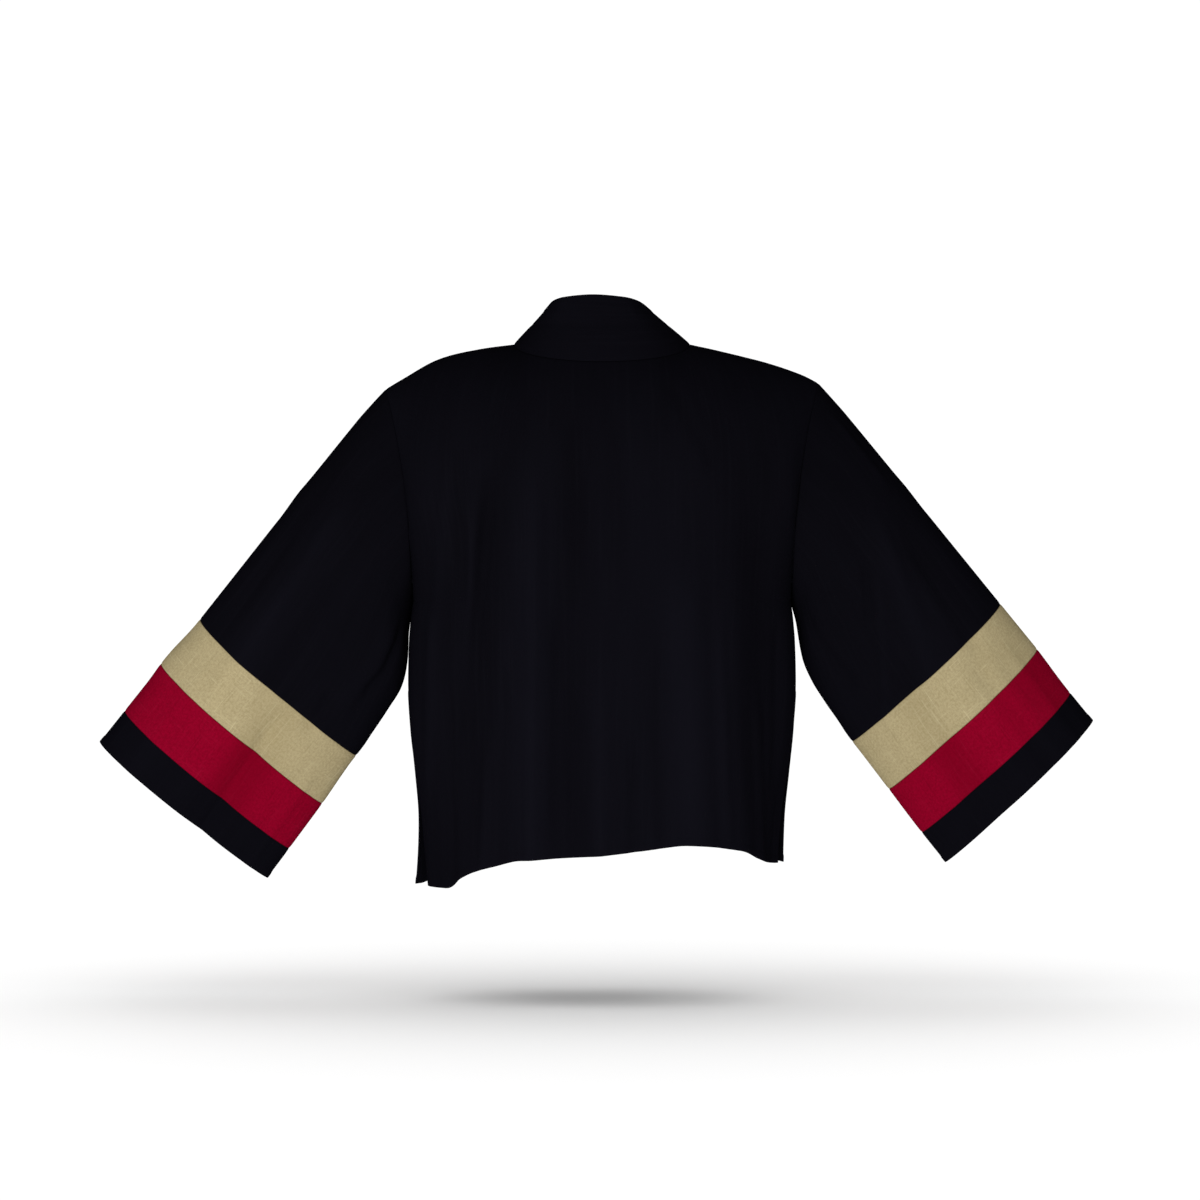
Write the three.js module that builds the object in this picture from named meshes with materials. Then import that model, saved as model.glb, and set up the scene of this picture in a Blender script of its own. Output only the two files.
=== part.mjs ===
// A cropped, open-fronted jacket of black cloth, with a standing neckband and wide sleeves that end in
// tan, crimson and black bands. It keeps the hollow form that it has when it is worn.
// Millimetres, +Z up. The front faces -Y and the wearer's left is +X. The origin is the middle of the
// neck opening, level with the tops of the shoulders.
import * as THREE from 'three';

// Driving dimensions
const cloth = 2;                // thickness of a wall of cloth
const seamGap = 0.6;            // between two pieces at their seam
const underarmGap = 0.8;        // more room where the sleeve folds back beside the body
const neckHalf = 88;            // neck point from the middle
const neckLevel = -1;           // height of the neck points
const backNeck = { out: 70, drop: 22 };   // the back neckline behind and below the neck points
const frontNeckDrop = 60;
const shoulderHalf = 216;       // shoulder point from the middle
const underarm = { half: 188, level: -257 };
const armholeDepth = 112;       // front to back across the armhole
const ventTop = -351;           // where the side seams end and the vents begin
const bladeLevel = { middle: -135, armhole: -151 };  // the level where the upper body is deepest
const chest = { back: 114, front: 116 };             // how deep it is there
const shoulderFall = 1.12;      // 1 rounds the shoulders like an ellipse, more slopes them
const chestRound = 2.4;         // 1 slopes the chest evenly out to the armhole, more keeps it full for longer
const underarmTuck = 16;        // how near the armhole the cloth tucks in sharply under the arm
const armholeHollow = 2.2;      // 1 leaves the armhole straight, more hollows it
const bandWidth = 66;           // the neckband, seam to free edge
const neckShift = 9;            // how far the standing neckband leans to the wearer's left
const frontOpening = 5;         // half the space between the two front edges
const slit = 0.8;               // between the two edges of a closed vent
const hemLevel = -520;          // about where the hem hangs
const corner = 10;              // how narrow the part of a panel is that flares beside a vent
const foldFree = { side: 0.12, top: 0.2 };   // folds fade out this near a panel's sides and top
const foldEnds = { start: 0.3, finish: 0.25 };   // shares of a fold's length in which it rises and fades
const tuck = { rise: 60, below: 0.98 };  // how far up the tuck reaches, and the row below it
const neckBend = 0.62;          // how far the cloth has turned towards level when it reaches the neckline
const neckBendShare = 0.5;      // the share of the way across where it turns all the way

// Facets
const ventRows = 6;
const sideRows = 3;
const armRows = 12;
const backColumns = 30;
const neckColumns = 10;         // of the back's columns, those under the neckband
const bandColumns = 3;

// The body's half width and its depth behind and before the side seams, at each level. Its outline there
// is an ellipse where square is 2, and squarer above that.
const bodySections = [
  { level: -545, half: 178, back: 100, front: 106, square: 2.25 },
  { level: -475, half: 181, back: 102, front: 109, square: 2.25 },
  { level: -430, half: 186, back: 105, front: 113, square: 2.3 },
  { level: -385, half: 191, back: 107, front: 117, square: 2.4 },
  { level: -340, half: 193.5, back: 109, front: 120, square: 2.55 },
  { level: -300, half: 192.5, back: 110, front: 121, square: 2.75 },
  { level: -275, half: 190.5, back: 110.5, front: 121, square: 2.9 },
  { level: -257, half: 188, back: 111, front: 120, square: 3 },
];

// The tops of the shoulders, from the neck points out to the shoulder points
const shoulderLine = [
  { out: 88, left: -1, right: -1 },
  { out: 115, left: -5, right: -7.5 },
  { out: 146, left: -11, right: -15 },
  { out: 165, left: -17, right: -20 },
  { out: 200, left: -36.5, right: -32 },
  { out: 216, left: -46, right: -40 },
];

// The hem's height across each panel, from the wearer's right to the left. It droops at the corners.
const hems = {
  back: [
    { x: -178, level: -519 },
    { x: -168, level: -516 },
    { x: -136, level: -503 },
    { x: -80, level: -496 },
    { x: -56, level: -499 },
    { x: 2, level: -506 },
    { x: 80, level: -511 },
    { x: 104, level: -517 },
    { x: 128, level: -524 },
    { x: 142, level: -531 },
    { x: 156, level: -541 },
    { x: 178, level: -541 },
  ],
  front: [
    { x: -178, level: -519 },
    { x: -120, level: -508 },
    { x: 0, level: -500 },
    { x: 100, level: -508 },
    { x: 178, level: -541 },
  ],
};

// How the corners beside each vent stand out at the hem, and how far apart they are
const vents = {
  left: { back: -7, front: 8, apart: 5, curve: 3.2 },
  right: { back: -4.5, front: 2, apart: 5, curve: 1.4 },
};

// The soft folds that hang down the body: x at the top and bottom end, the two levels,
// the width from the fold's line to its foot, and the height, which is below zero in a trough
const bodyFolds = {
  back: [
    { x: 67, xLow: 66, top: -95, low: -545, wide: 26, high: 6 },
    { x: 100, xLow: 128, top: -90, low: -460, wide: 26, high: -5 },
    { x: 24, xLow: 29, top: -50, low: -470, wide: 28, high: -4 },
    { x: -73, xLow: -88, top: -190, low: -545, wide: 32, high: 5 },
    { x: -150, xLow: -168, top: -62, low: -500, wide: 34, high: -9 },
  ],
  front: [
    { x: 92, xLow: 100, top: -150, low: -545, wide: 24, high: 5 },
    { x: 128, xLow: 134, top: -110, low: -545, wide: 18, high: -6 },
    { x: -88, xLow: -98, top: -170, low: -545, wide: 26, high: 5.5 },
    { x: -124, xLow: -140, top: -120, low: -480, wide: 20, high: -6 },
    { x: -158, xLow: -160, top: -270, low: -545, wide: 16, high: 3 },
  ],
};

// Where the neckband is sewn to the front edges
const frontEdge = [
  { level: -545, x: 73 },
  { level: -215, x: 71 },
  { level: -150, x: 76 },
  { level: -80, x: 83 },
  { level: -1, x: 88 },
];

// The neckband's free edge, from the middle of the back (station 0) to the neck point (station 5)
// and on down the front. Lower down it lies on the chest.
const freeEdge = [
  { station: -1, x: -14, y: 51.5, z: 43.5 },
  { station: 0, x: 0, y: 52, z: 44 },
  { station: 2, x: 29, y: 47, z: 42 },
  { station: 3.5, x: 44, y: 25, z: 38.5 },
  { station: 5, x: 50, y: -8, z: 33 },
  { station: 6, x: 50, y: -36, z: 20 },
  { station: 7, x: 47, y: -62, z: 0 },
  { station: 8, x: 41, y: -85, z: -28 },
  { station: 9, x: 34, y: -103, z: -62 },
  { station: 10, x: 26, y: -113, z: -98 },
];
const layDown = { from: 7, to: 11 };      // the stations where it comes to lie on the chest
const roll = 1.5;                         // how far the standing part rolls outward
const rollAcross = 0.9;                   // below 1 turns the roll a little towards the back and front
const collarCore = 20;                    // the neckband faces away from points this far below each of its own

// The sleeves. Each section is a ring: its distance down the outer edge, its width from the outer edge
// to the under edge, its depth, the turn of its plane from upright, and how far forward each edge is.
const sleeves = {
  left: {
    side: 1,
    slope: 51.2,
    seams: [0, 297, 357, 417, 457],
    sections: [
      { along: 0, width: 213, depth: 112, turn: 7.6, forward: 0, underForward: 0 },
      { along: 50, width: 210.5, depth: 110, turn: 14.9, forward: 1, underForward: 1 },
      { along: 100, width: 211, depth: 108, turn: 23.4, forward: 3, underForward: 3 },
      { along: 150, width: 211, depth: 105, turn: 31.2, forward: 8, underForward: 7 },
      { along: 200, width: 208, depth: 101, turn: 37.4, forward: 13, underForward: 12 },
      { along: 250, width: 206.5, depth: 98, turn: 43.1, forward: 18, underForward: 17 },
      { along: 297, width: 206, depth: 96, turn: 48.8, forward: 22, underForward: 21 },
      { along: 357, width: 209.5, depth: 93, turn: 49, forward: 26, underForward: 25 },
      { along: 457, width: 213, depth: 90, turn: 50.8, forward: 31, underForward: 30 },
    ],
    folds: [
      { around: 0, aroundLow: 0, from: -30, to: 130, wide: 70, high: 3 },
      { around: 0, aroundLow: 0, from: 110, to: 330, wide: 60, high: 2.5 },
      { around: 0, aroundLow: 0, from: 300, to: 520, wide: 50, high: 4.5 },
      { around: 63, aroundLow: 66, from: 45, to: 330, wide: 24, high: 4 },
      { around: 104, aroundLow: 106, from: 250, to: 450, wide: 24, high: -4 },
      { around: -60, aroundLow: -75, from: 60, to: 380, wide: 26, high: -4 },
      { around: -115, aroundLow: -110, from: 90, to: 440, wide: 26, high: 3.5 },
    ],
  },
  right: {
    side: -1,
    slope: 50.6,
    seams: [0, 287, 346, 401, 437],
    sections: [
      { along: 0, width: 218.5, depth: 112, turn: 7.4, forward: 0, underForward: 0 },
      { along: 50, width: 210.5, depth: 110, turn: 14.6, forward: 1, underForward: 1 },
      { along: 100, width: 211, depth: 107, turn: 22.1, forward: 3, underForward: 3 },
      { along: 150, width: 207.5, depth: 103, turn: 29.3, forward: 7, underForward: 6 },
      { along: 200, width: 203, depth: 99, turn: 36.3, forward: 11, underForward: 9 },
      { along: 250, width: 200.5, depth: 96, turn: 43, forward: 14, underForward: 12 },
      { along: 287, width: 201, depth: 94, turn: 47, forward: 16, underForward: 14 },
      { along: 346, width: 203, depth: 91, turn: 46.6, forward: 19, underForward: 16 },
      { along: 401, width: 205, depth: 88, turn: 46.7, forward: 22, underForward: 18 },
      { along: 437, width: 205.5, depth: 86, turn: 46.1, forward: 24, underForward: 19 },
    ],
    folds: [
      { around: 0, aroundLow: 0, from: -30, to: 130, wide: 70, high: 2 },
      { around: 0, aroundLow: 0, from: 110, to: 340, wide: 60, high: 2 },
      { around: 60, aroundLow: 84, from: 70, to: 320, wide: 24, high: 4 },
      { around: 110, aroundLow: 112, from: 240, to: 430, wide: 24, high: -3.5 },
      { around: -70, aroundLow: -60, from: 70, to: 400, wide: 26, high: -4 },
      { around: -125, aroundLow: -120, from: 60, to: 380, wide: 24, high: 3.5 },
    ],
  },
};
const sleeveRings = { upper: 8, band: 2, cuff: 2 };
const courseStep = 4;           // half the length over which a sleeve's direction is taken

// Fineness of the working
const formStep = 0.004;         // the step along a form from which its normal is taken
const halvings = 30;            // of the range in a search
const sameSpot = 0.02;          // points nearer than this are one point of a seam
const teardrop = { much: 0.3, by: 200 };  // how much deeper a sleeve is towards its outer edge, and from where

const looks = {
  black: { color: 0x111015, roughness: 0.9 },
  tan: { color: 0xb0a27b, roughness: 0.85 },
  red: { color: 0x8a0526, roughness: 0.85 },
};

const clamp = THREE.MathUtils.clamp;
const lerp = THREE.MathUtils.lerp;
const radians = THREE.MathUtils.degToRad;
const ease = (t) => THREE.MathUtils.smoothstep(t, 0, 1);

// A smooth curve through a column of a table, read at a value of its key column
function curve(table, key, column) {
  const xs = table.map((row) => row[key]);
  const ys = table.map((row) => row[column]);
  const last = xs.length - 1;
  const steps = ys.slice(1).map((y, i) => (y - ys[i]) / (xs[i + 1] - xs[i]));
  const slopes = ys.map((_, i) => {
    if (i === 0) return steps[0];
    if (i === last) return steps[last - 1];
    const [before, after] = [steps[i - 1], steps[i]];
    return before * after <= 0 ? 0 : (2 * before * after) / (before + after);
  });
  return (value) => {
    const x = clamp(value, xs[0], xs[last]);
    let i = 0;
    while (i < last - 1 && x > xs[i + 1]) i += 1;
    const span = xs[i + 1] - xs[i];
    const t = (x - xs[i]) / span;
    const held = ys[i] * (1 + 2 * t) * (1 - t) ** 2 + ys[i + 1] * t * t * (3 - 2 * t);
    return held + span * (slopes[i] * t * (1 - t) ** 2 - slopes[i + 1] * t * t * (1 - t));
  };
}

// The height of all the folds of a list at one place: each is a soft ridge or trough along a line
function foldHeight(folds, across, down, keys) {
  let height = 0;
  for (const fold of folds) {
    const [start, end, first, final] = keys.map((key) => fold[key]);
    const t = (down - first) / (final - first);
    if (t <= 0) continue;
    const off = (across - lerp(start, end, clamp(t, 0, 1))) / fold.wide;
    const ends = ease(t / foldEnds.start) * ease((1 + foldEnds.finish - t) / foldEnds.finish);
    if (Math.abs(off) < 1) height += fold.high * ends * Math.cos(off * Math.PI / 2) ** 2;
  }
  return height;
}

// The body as a smooth form. across runs from 0 at the middle to 1 at the side, below zero on the
// wearer's right. up runs from 0 at the hem to 1 at the underarm and 2 at the shoulder and the neck.
const half = curve(bodySections, 'level', 'half');
const square = curve(bodySections, 'level', 'square');
const depth = { back: curve(bodySections, 'level', 'back'), front: curve(bodySections, 'level', 'front') };
const hem = { back: curve(hems.back, 'x', 'level'), front: curve(hems.front, 'x', 'level') };
const shoulder = { left: curve(shoulderLine, 'out', 'left'), right: curve(shoulderLine, 'out', 'right') };
const neckShare = neckColumns / backColumns;
const ventShare = ventRows / (ventRows + sideRows);
const away = { back: 1, front: -1 };

function topLine(face, share, side) {
  if (share >= neckShare) {
    const x = lerp(neckHalf, shoulderHalf, (share - neckShare) / (1 - neckShare));
    return { x, y: 0, z: shoulder[side](x) };
  }
  const part = share / neckShare;
  if (face === 'front') return { x: neckHalf * part, y: 0, z: neckLevel - frontNeckDrop * (1 - part * part) };
  const turn = part * Math.PI / 2;
  return {
    x: neckHalf * Math.sin(turn),
    y: backNeck.out * Math.cos(turn),
    z: neckLevel - backNeck.drop * Math.cos(turn),
  };
}

function bodyForm(face, across, up) {
  const side = across < 0 ? 'right' : 'left';
  const share = Math.min(Math.abs(across), 1);
  const turn = share * Math.PI / 2;
  let x, y, z;
  if (up <= 1) {
    const level = hem[face](Math.sign(across) * half(hemLevel) * Math.sin(turn) ** (2 / square(hemLevel)));
    z = up < ventShare
      ? lerp(level, ventTop, up / ventShare)
      : lerp(ventTop, underarm.level, (up - ventShare) / (1 - ventShare));
    x = half(z) * Math.sin(turn) ** (2 / square(z));
    y = depth[face](z) * Math.max(Math.cos(turn), 0) ** (2 / square(z));
  } else {
    const wide = Math.sin(turn) ** (2 / square(underarm.level));
    const deep = Math.max(Math.cos(turn), 0) ** (2 / square(underarm.level));
    const top = topLine(face, share, side);
    const swing = (up - 1) * Math.PI - Math.PI / 2;
    const blade = lerp(bladeLevel.middle, bladeLevel.armhole, share ** 2);
    const under = depth[face](underarm.level) * deep;
    const out = armholeDepth / 2 + (chest[face] - armholeDepth / 2) * (1 - share ** chestRound);
    if (swing < 0) {
      z = blade + (blade - underarm.level) * Math.sin(swing);
      const soft = ease((z - underarm.level) / (blade - underarm.level));
      y = lerp(under, out, lerp(soft, Math.cos(swing), share ** underarmTuck));
    } else {
      const bend = lerp(neckBend, 1, ease(share / neckBendShare)) * Math.PI / 2;
      const lean = swing / (Math.PI / 2) * bend;
      z = blade + (top.z - blade) * Math.sin(lean) / Math.sin(bend);
      const fall = Math.max(Math.cos(lean) - Math.cos(bend), 0) / (1 - Math.cos(bend));
      y = lerp(top.y, out, fall ** shoulderFall);
    }
    const climb = (z - underarm.level) / (top.z - underarm.level);
    x = lerp(underarm.half * wide, top.x, climb ** lerp(1, armholeHollow, share ** 4));
  }
  return new THREE.Vector3(Math.sign(across) * x, away[face] * y, z);
}

// A form's outward normal, from three points near each other. Near its ends the points lie further in.
function normalOf(point, u, v, out) {
  const [a, b] = [u > 0.9 ? -formStep : formStep, v > 1.9 ? -formStep : formStep];
  const here = point(u, v);
  const normal = point(u + a, v).sub(here).cross(point(u, v + b).sub(here)).normalize();
  return normal.dot(out) < 0 ? normal.negate() : normal;
}

// The body with its folds, and with the corners of its vents drawn apart. Just above the underarm the folds
// stand out as they do below it, because the tuck there lies almost level.
function bodyPoint(face, across, up) {
  const side = across < 0 ? 'right' : 'left';
  const share = Math.abs(across);
  const vent = vents[side];
  const open = Math.max(0, 1 - up / ventShare) ** vent.curve;
  const atCorner = share ** corner * open;
  const apart = share ** corner * (up < ventShare ? slit / 2 : 0) + atCorner * vent.apart;
  const drawn = across * (1 - apart / (half(hemLevel) * Math.PI / 2));
  const point = bodyForm(face, drawn, up);
  const folds = foldHeight(bodyFolds[face], point.x, point.z, ['x', 'xLow', 'top', 'low']);
  const still = ease((1 - share) / foldFree.side) * ease((2 - up) / foldFree.top);
  const level = new THREE.Vector3(point.x, point.y, 0);
  const [below, here] = [Math.min(up, tuck.below), up].map((v) =>
    normalOf((a, b) => bodyForm(face, a, b), drawn, v, level));
  const normal = below.lerp(here, ease((point.z - underarm.level) / tuck.rise)).normalize();
  point.addScaledVector(normal, folds * still);
  point.x += Math.sign(across) * vent[face] * atCorner;
  return point;
}

// The share of the way across at which a row of the front reaches a distance from the middle
function shareAt(up, side, distance) {
  let [low, high] = [0, 1];
  for (let i = 0; i < halvings; i += 1) {
    const middle = (low + high) / 2;
    const point = bodyForm('front', side * middle, up);
    if (Math.abs(point.x) < distance(point.z)) low = middle;
    else high = middle;
  }
  return high;
}

// A sleeve as a smooth form: turn goes round it from the outer edge by way of the back
function sleeveForm(sleeve) {
  const columns = ['width', 'depth', 'turn', 'forward', 'underForward'];
  const read = Object.fromEntries(columns.map((name) => [name, curve(sleeve.sections, 'along', name)]));
  const top = shoulder[sleeve.side > 0 ? 'left' : 'right'](shoulderHalf);
  const slope = radians(sleeve.slope);
  const edges = (along) => {
    const tilt = radians(read.turn(along));
    const outer = new THREE.Vector3(shoulderHalf + along * Math.cos(slope), -read.forward(along),
      top - along * Math.sin(slope));
    const under = new THREE.Vector3(outer.x - read.width(along) * Math.sin(tilt), -read.underForward(along),
      outer.z - read.width(along) * Math.cos(tilt));
    return { outer, middle: outer.clone().add(under).multiplyScalar(0.5) };
  };
  return (turn, along) => {
    const { outer, middle } = edges(along);
    const course = edges(along + courseStep).middle
      .sub(edges(Math.max(along - courseStep, 0)).middle);
    const reach = outer.clone().sub(middle);
    const backward = course.clone().cross(reach).normalize();
    if (backward.y < 0) backward.negate();
    const drop = teardrop.much * ease(along / teardrop.by);
    const deep = read.depth(along) / 2 * Math.sin(turn) * (1 + drop * Math.cos(turn));
    const point = middle.clone().addScaledVector(reach, Math.cos(turn)).addScaledVector(backward, deep);
    const degrees = THREE.MathUtils.radToDeg(turn > Math.PI ? turn - 2 * Math.PI : turn);
    const folds = foldHeight(sleeve.folds, degrees, along, ['around', 'aroundLow', 'from', 'to']);
    point.addScaledVector(point.clone().sub(middle).normalize(), folds);
    return new THREE.Vector3(sleeve.side * point.x, point.y, point.z);
  };
}

// The neckband. Its stations follow the back neckline and then the front's rows, both ways.
const rows = ventRows + sideRows + armRows;
const rowUp = (row) => (row <= ventRows + sideRows
  ? row / (ventRows + sideRows)
  : 1 + (row - ventRows - sideRows) / armRows);
const edgeX = curve(frontEdge, 'level', 'x');
const free = Object.fromEntries(['x', 'y', 'z'].map((axis) => [axis, curve(freeEdge, 'station', axis)]));
const neckSteps = neckColumns / 2;

function bandPoint(side, station, part) {
  const shift = neckShift * (1 - ease(station / (layDown.to - 2)));
  const standing = new THREE.Vector3(side * free.x(station) + shift, free.y(station), free.z(station));
  let seam, lying;
  if (station <= neckSteps) {
    seam = bodyPoint('back', side * station / neckSteps * neckShare, 2);
    lying = null;
  } else {
    const up = rowUp(rows - (station - neckSteps));
    const at = (x) => bodyPoint('front', side * shareAt(up, side, x), up);
    seam = at(edgeX);
    lying = at((level) => lerp(edgeX(level), Math.max(edgeX(level) - bandWidth, frontOpening), part));
  }
  const out = seam.clone().add(standing).setX((seam.x + standing.x) * rollAcross).setZ(0).normalize();
  const bow = 4 * part * (1 - part);   // 1 halfway between the seam and the free edge
  const raised = seam.clone().lerp(standing, part).addScaledVector(out, roll * bow);
  return lying ? raised.lerp(lying, ease((station - layDown.from) / (layDown.to - layDown.from))) : raised;
}

// Pieces of cloth, each a grid of points on its outer face. core is a point inside the garment.
const pieces = [];

function cut(name, look, down, across, point, core, round = false) {
  const grid = Array.from({ length: down + 1 }, (_, i) =>
    Array.from({ length: round ? across : across + 1 }, (__, j) => point(i, j)));
  pieces.push({ name, look, grid, core, round });
}

const bodyCore = (point) => new THREE.Vector3(0, 0, point.z);

cut('back', 'black', rows, backColumns,
  (i, j) => bodyPoint('back', -1 + (2 * j) / backColumns, rowUp(i)), bodyCore);

const frontColumns = (backColumns - neckColumns) / 2;
for (const [name, side] of [['left', 1], ['right', -1]]) {
  cut(`front_${name}`, 'black', rows, frontColumns, (i, j) => {
    const edge = i === rows ? neckShare : shareAt(rowUp(i), side, edgeX);
    return bodyPoint('front', side * lerp(1, edge, j / frontColumns), rowUp(i));
  }, bodyCore);
}

const stations = neckSteps + rows;
cut('neckband', 'black', 2 * stations, bandColumns,
  (i, j) => bandPoint(i < stations ? -1 : 1, Math.abs(i - stations), j / bandColumns),
  (point) => new THREE.Vector3(0, 0, point.z - collarCore));

for (const [name, sleeve] of Object.entries(sleeves)) {
  const form = sleeveForm(sleeve);
  const facets = 2 * armRows;
  const lengths = [
    ['sleeve', 'black', sleeveRings.upper],
    ['band_tan', 'tan', sleeveRings.band],
    ['band_red', 'red', sleeveRings.band],
    ['cuff', 'black', sleeveRings.cuff],
  ];
  lengths.forEach(([part, look, rings], k) => {
    const [start, end] = [sleeve.seams[k], sleeve.seams[k + 1]];
    const middles = new Map();
    cut(`${part}_${name}`, look, rings, facets, (i, j) => {
      const along = lerp(start, end, i / rings);
      const turn = j / facets * 2 * Math.PI;
      if (along > 0) return form(turn, along);
      const up = 2 - Math.min(j, facets - j) / armRows;
      return bodyPoint(j <= armRows ? 'back' : 'front', sleeve.side, up);
    }, (point, row) => {
      if (!middles.has(row)) {
        const centre = new THREE.Vector3();
        row.forEach((each) => centre.addScaledVector(each, 1 / row.length));
        middles.set(row, centre);
      }
      return middles.get(row);
    }, true);
  });
}

// Sewing: where pieces share a point they share its normal, and each is pulled back by half the gap
const keyOf = (point) => point.toArray().map((value) => Math.round(value / sameSpot)).join();

function neighbour(piece, i, j) {
  const row = piece.grid[i];
  if (!row) return null;
  return piece.round ? row[(j + row.length) % row.length] : row[j] ?? null;
}

function measureNormals(piece) {
  piece.normals = piece.grid.map((row, i) => row.map((point, j) => {
    const down = (neighbour(piece, i + 1, j) ?? point).clone().sub(neighbour(piece, i - 1, j) ?? point);
    const along = (neighbour(piece, i, j + 1) ?? point).clone().sub(neighbour(piece, i, j - 1) ?? point);
    const normal = down.cross(along).normalize();
    return normal.dot(point.clone().sub(piece.core(point, row))) < 0 ? normal.negate() : normal;
  }));
}

function shareNormals() {
  const shared = new Map();
  for (const piece of pieces) {
    piece.grid.forEach((row, i) => row.forEach((point, j) => {
      const key = keyOf(point);
      if (!shared.has(key)) shared.set(key, []);
      shared.get(key).push({ piece, normal: piece.normals[i][j] });
    }));
  }
  for (const piece of pieces) {
    piece.sewn = piece.grid.map((row) => row.map((point) =>
      shared.get(keyOf(point)).some((each) => each.piece !== piece)));
    piece.mitres = piece.grid.map((row, i) => row.map((point, j) => {
      const own = piece.normals[i][j];
      const sum = own.clone();
      for (const other of shared.get(keyOf(point))) {
        if (other.piece !== piece) sum.addScaledVector(other.normal, ease(own.dot(other.normal) + 0.5));
      }
      return sum.normalize();
    }));
  }
}

function pullBack(piece) {
  const last = { i: piece.grid.length - 1, j: piece.grid[0].length - 1 };
  return piece.grid.map((row, i) => row.map((point, j) => {
    const moved = point.clone();
    if (!piece.sewn[i][j]) return moved;
    const edges = [];
    if (i === 0) edges.push([1, 0]);
    if (i === last.i) edges.push([-1, 0]);
    if (!piece.round && j === 0) edges.push([0, 1]);
    if (!piece.round && j === last.j) edges.push([0, -1]);
    for (const [di, dj] of edges) {
      const inward = neighbour(piece, i + di, j + dj).clone().sub(point);
      const before = neighbour(piece, i - dj, j - di) ?? point;
      const after = neighbour(piece, i + dj, j + di) ?? point;
      const course = after.clone().sub(before).normalize();
      inward.addScaledVector(course, -inward.dot(course)).normalize();
      moved.addScaledVector(inward, seamGap / 2);
    }
    return moved;
  }));
}

// A wall of cloth: the outer grid, the same grid one thickness further in, and the edges between
function wall(piece) {
  const outer = pullBack(piece);
  const inner = outer.map((row, i) => row.map((point, j) =>
    point.clone().addScaledVector(piece.mitres[i][j], -cloth)));
  const rowsDown = outer.length;
  const wide = outer[0].length;
  const positions = [outer, inner].flat(2).flatMap((point) => point.toArray());
  const index = (layer, i, j) => layer * rowsDown * wide + i * wide + (j + wide) % wide;
  const faces = [];
  const quad = (a, b, c, d) => faces.push(a, b, c, a, c, d);
  const steps = piece.round ? wide : wide - 1;
  for (let i = 0; i < rowsDown - 1; i += 1) {
    for (let j = 0; j < steps; j += 1) {
      const next = (j + 1) % wide;
      const falling = outer[i][j].distanceTo(outer[i + 1][next]);
      const rising = outer[i][next].distanceTo(outer[i + 1][j]);
      const corners = (layer) => [
        index(layer, i, j), index(layer, i, j + 1), index(layer, i + 1, j + 1), index(layer, i + 1, j)];
      const [front, rear] = [corners(0), corners(1).reverse()];
      if (falling > rising) front.push(front.shift());
      else rear.unshift(rear.pop());
      quad(...front);
      quad(...rear);
    }
  }
  for (let j = 0; j < steps; j += 1) {
    const end = rowsDown - 1;
    quad(index(1, 0, j), index(1, 0, j + 1), index(0, 0, j + 1), index(0, 0, j));
    quad(index(0, end, j), index(0, end, j + 1), index(1, end, j + 1), index(1, end, j));
  }
  if (!piece.round) {
    for (let i = 0; i < rowsDown - 1; i += 1) {
      const end = wide - 1;
      quad(index(0, i, 0), index(0, i + 1, 0), index(1, i + 1, 0), index(1, i, 0));
      quad(index(1, i, end), index(1, i + 1, end), index(0, i + 1, end), index(0, i, end));
    }
  }
  const normal = outer[0][0].clone();
  normal.copy(outer[0][1]).sub(outer[0][0]).cross(outer[1][0].clone().sub(outer[0][0]));
  if (normal.dot(piece.mitres[0][0]) < 0) faces.reverse();
  const geometry = new THREE.BufferGeometry();
  geometry.setAttribute('position', new THREE.Float32BufferAttribute(positions, 3));
  geometry.setIndex(faces);
  geometry.computeVertexNormals();
  return geometry;
}

// The sleeve starts a little further out round the bottom of the armhole, where it folds back
function clearUnderarm(piece) {
  const ring = piece.grid[0];
  ring.forEach((point, j) => {
    const low = (1 - Math.cos(j / ring.length * 2 * Math.PI)) / 2;
    point.x += Math.sign(point.x) * underarmGap * low;
  });
}

pieces.forEach(measureNormals);
shareNormals();
pieces.filter((piece) => piece.name.startsWith('sleeve')).forEach(clearUnderarm);

const group = new THREE.Group();
for (const piece of pieces) {
  const { color, roughness } = looks[piece.look];
  const material = new THREE.MeshStandardMaterial({ color, roughness, metalness: 0 });
  const mesh = new THREE.Mesh(wall(piece), material);
  mesh.name = piece.name;
  group.add(mesh);
}

export default group;
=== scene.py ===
# A cropped, open-fronted jacket of black cloth, with a standing neckband and wide sleeves that end in
# tan, crimson and black bands. It is filled out as when it is worn. Shapes are worked out in millimetres
# and put into the meshes in metres. The front faces -Y and the wearer's left is +X.
import bpy
import numpy as np
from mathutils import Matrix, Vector


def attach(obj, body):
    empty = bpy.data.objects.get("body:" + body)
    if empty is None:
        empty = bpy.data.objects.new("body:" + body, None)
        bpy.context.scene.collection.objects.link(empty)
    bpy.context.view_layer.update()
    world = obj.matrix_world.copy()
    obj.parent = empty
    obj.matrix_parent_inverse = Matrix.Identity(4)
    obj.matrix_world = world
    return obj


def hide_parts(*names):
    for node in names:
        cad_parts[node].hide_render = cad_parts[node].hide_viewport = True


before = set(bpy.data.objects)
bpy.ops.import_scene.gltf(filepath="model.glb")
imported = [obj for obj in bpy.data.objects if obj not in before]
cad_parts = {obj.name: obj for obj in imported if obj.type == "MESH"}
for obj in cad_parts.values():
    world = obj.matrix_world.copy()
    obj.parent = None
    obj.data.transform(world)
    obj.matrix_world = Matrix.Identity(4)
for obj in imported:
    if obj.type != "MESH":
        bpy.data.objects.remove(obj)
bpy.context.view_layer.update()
print("frame loaded")

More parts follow.
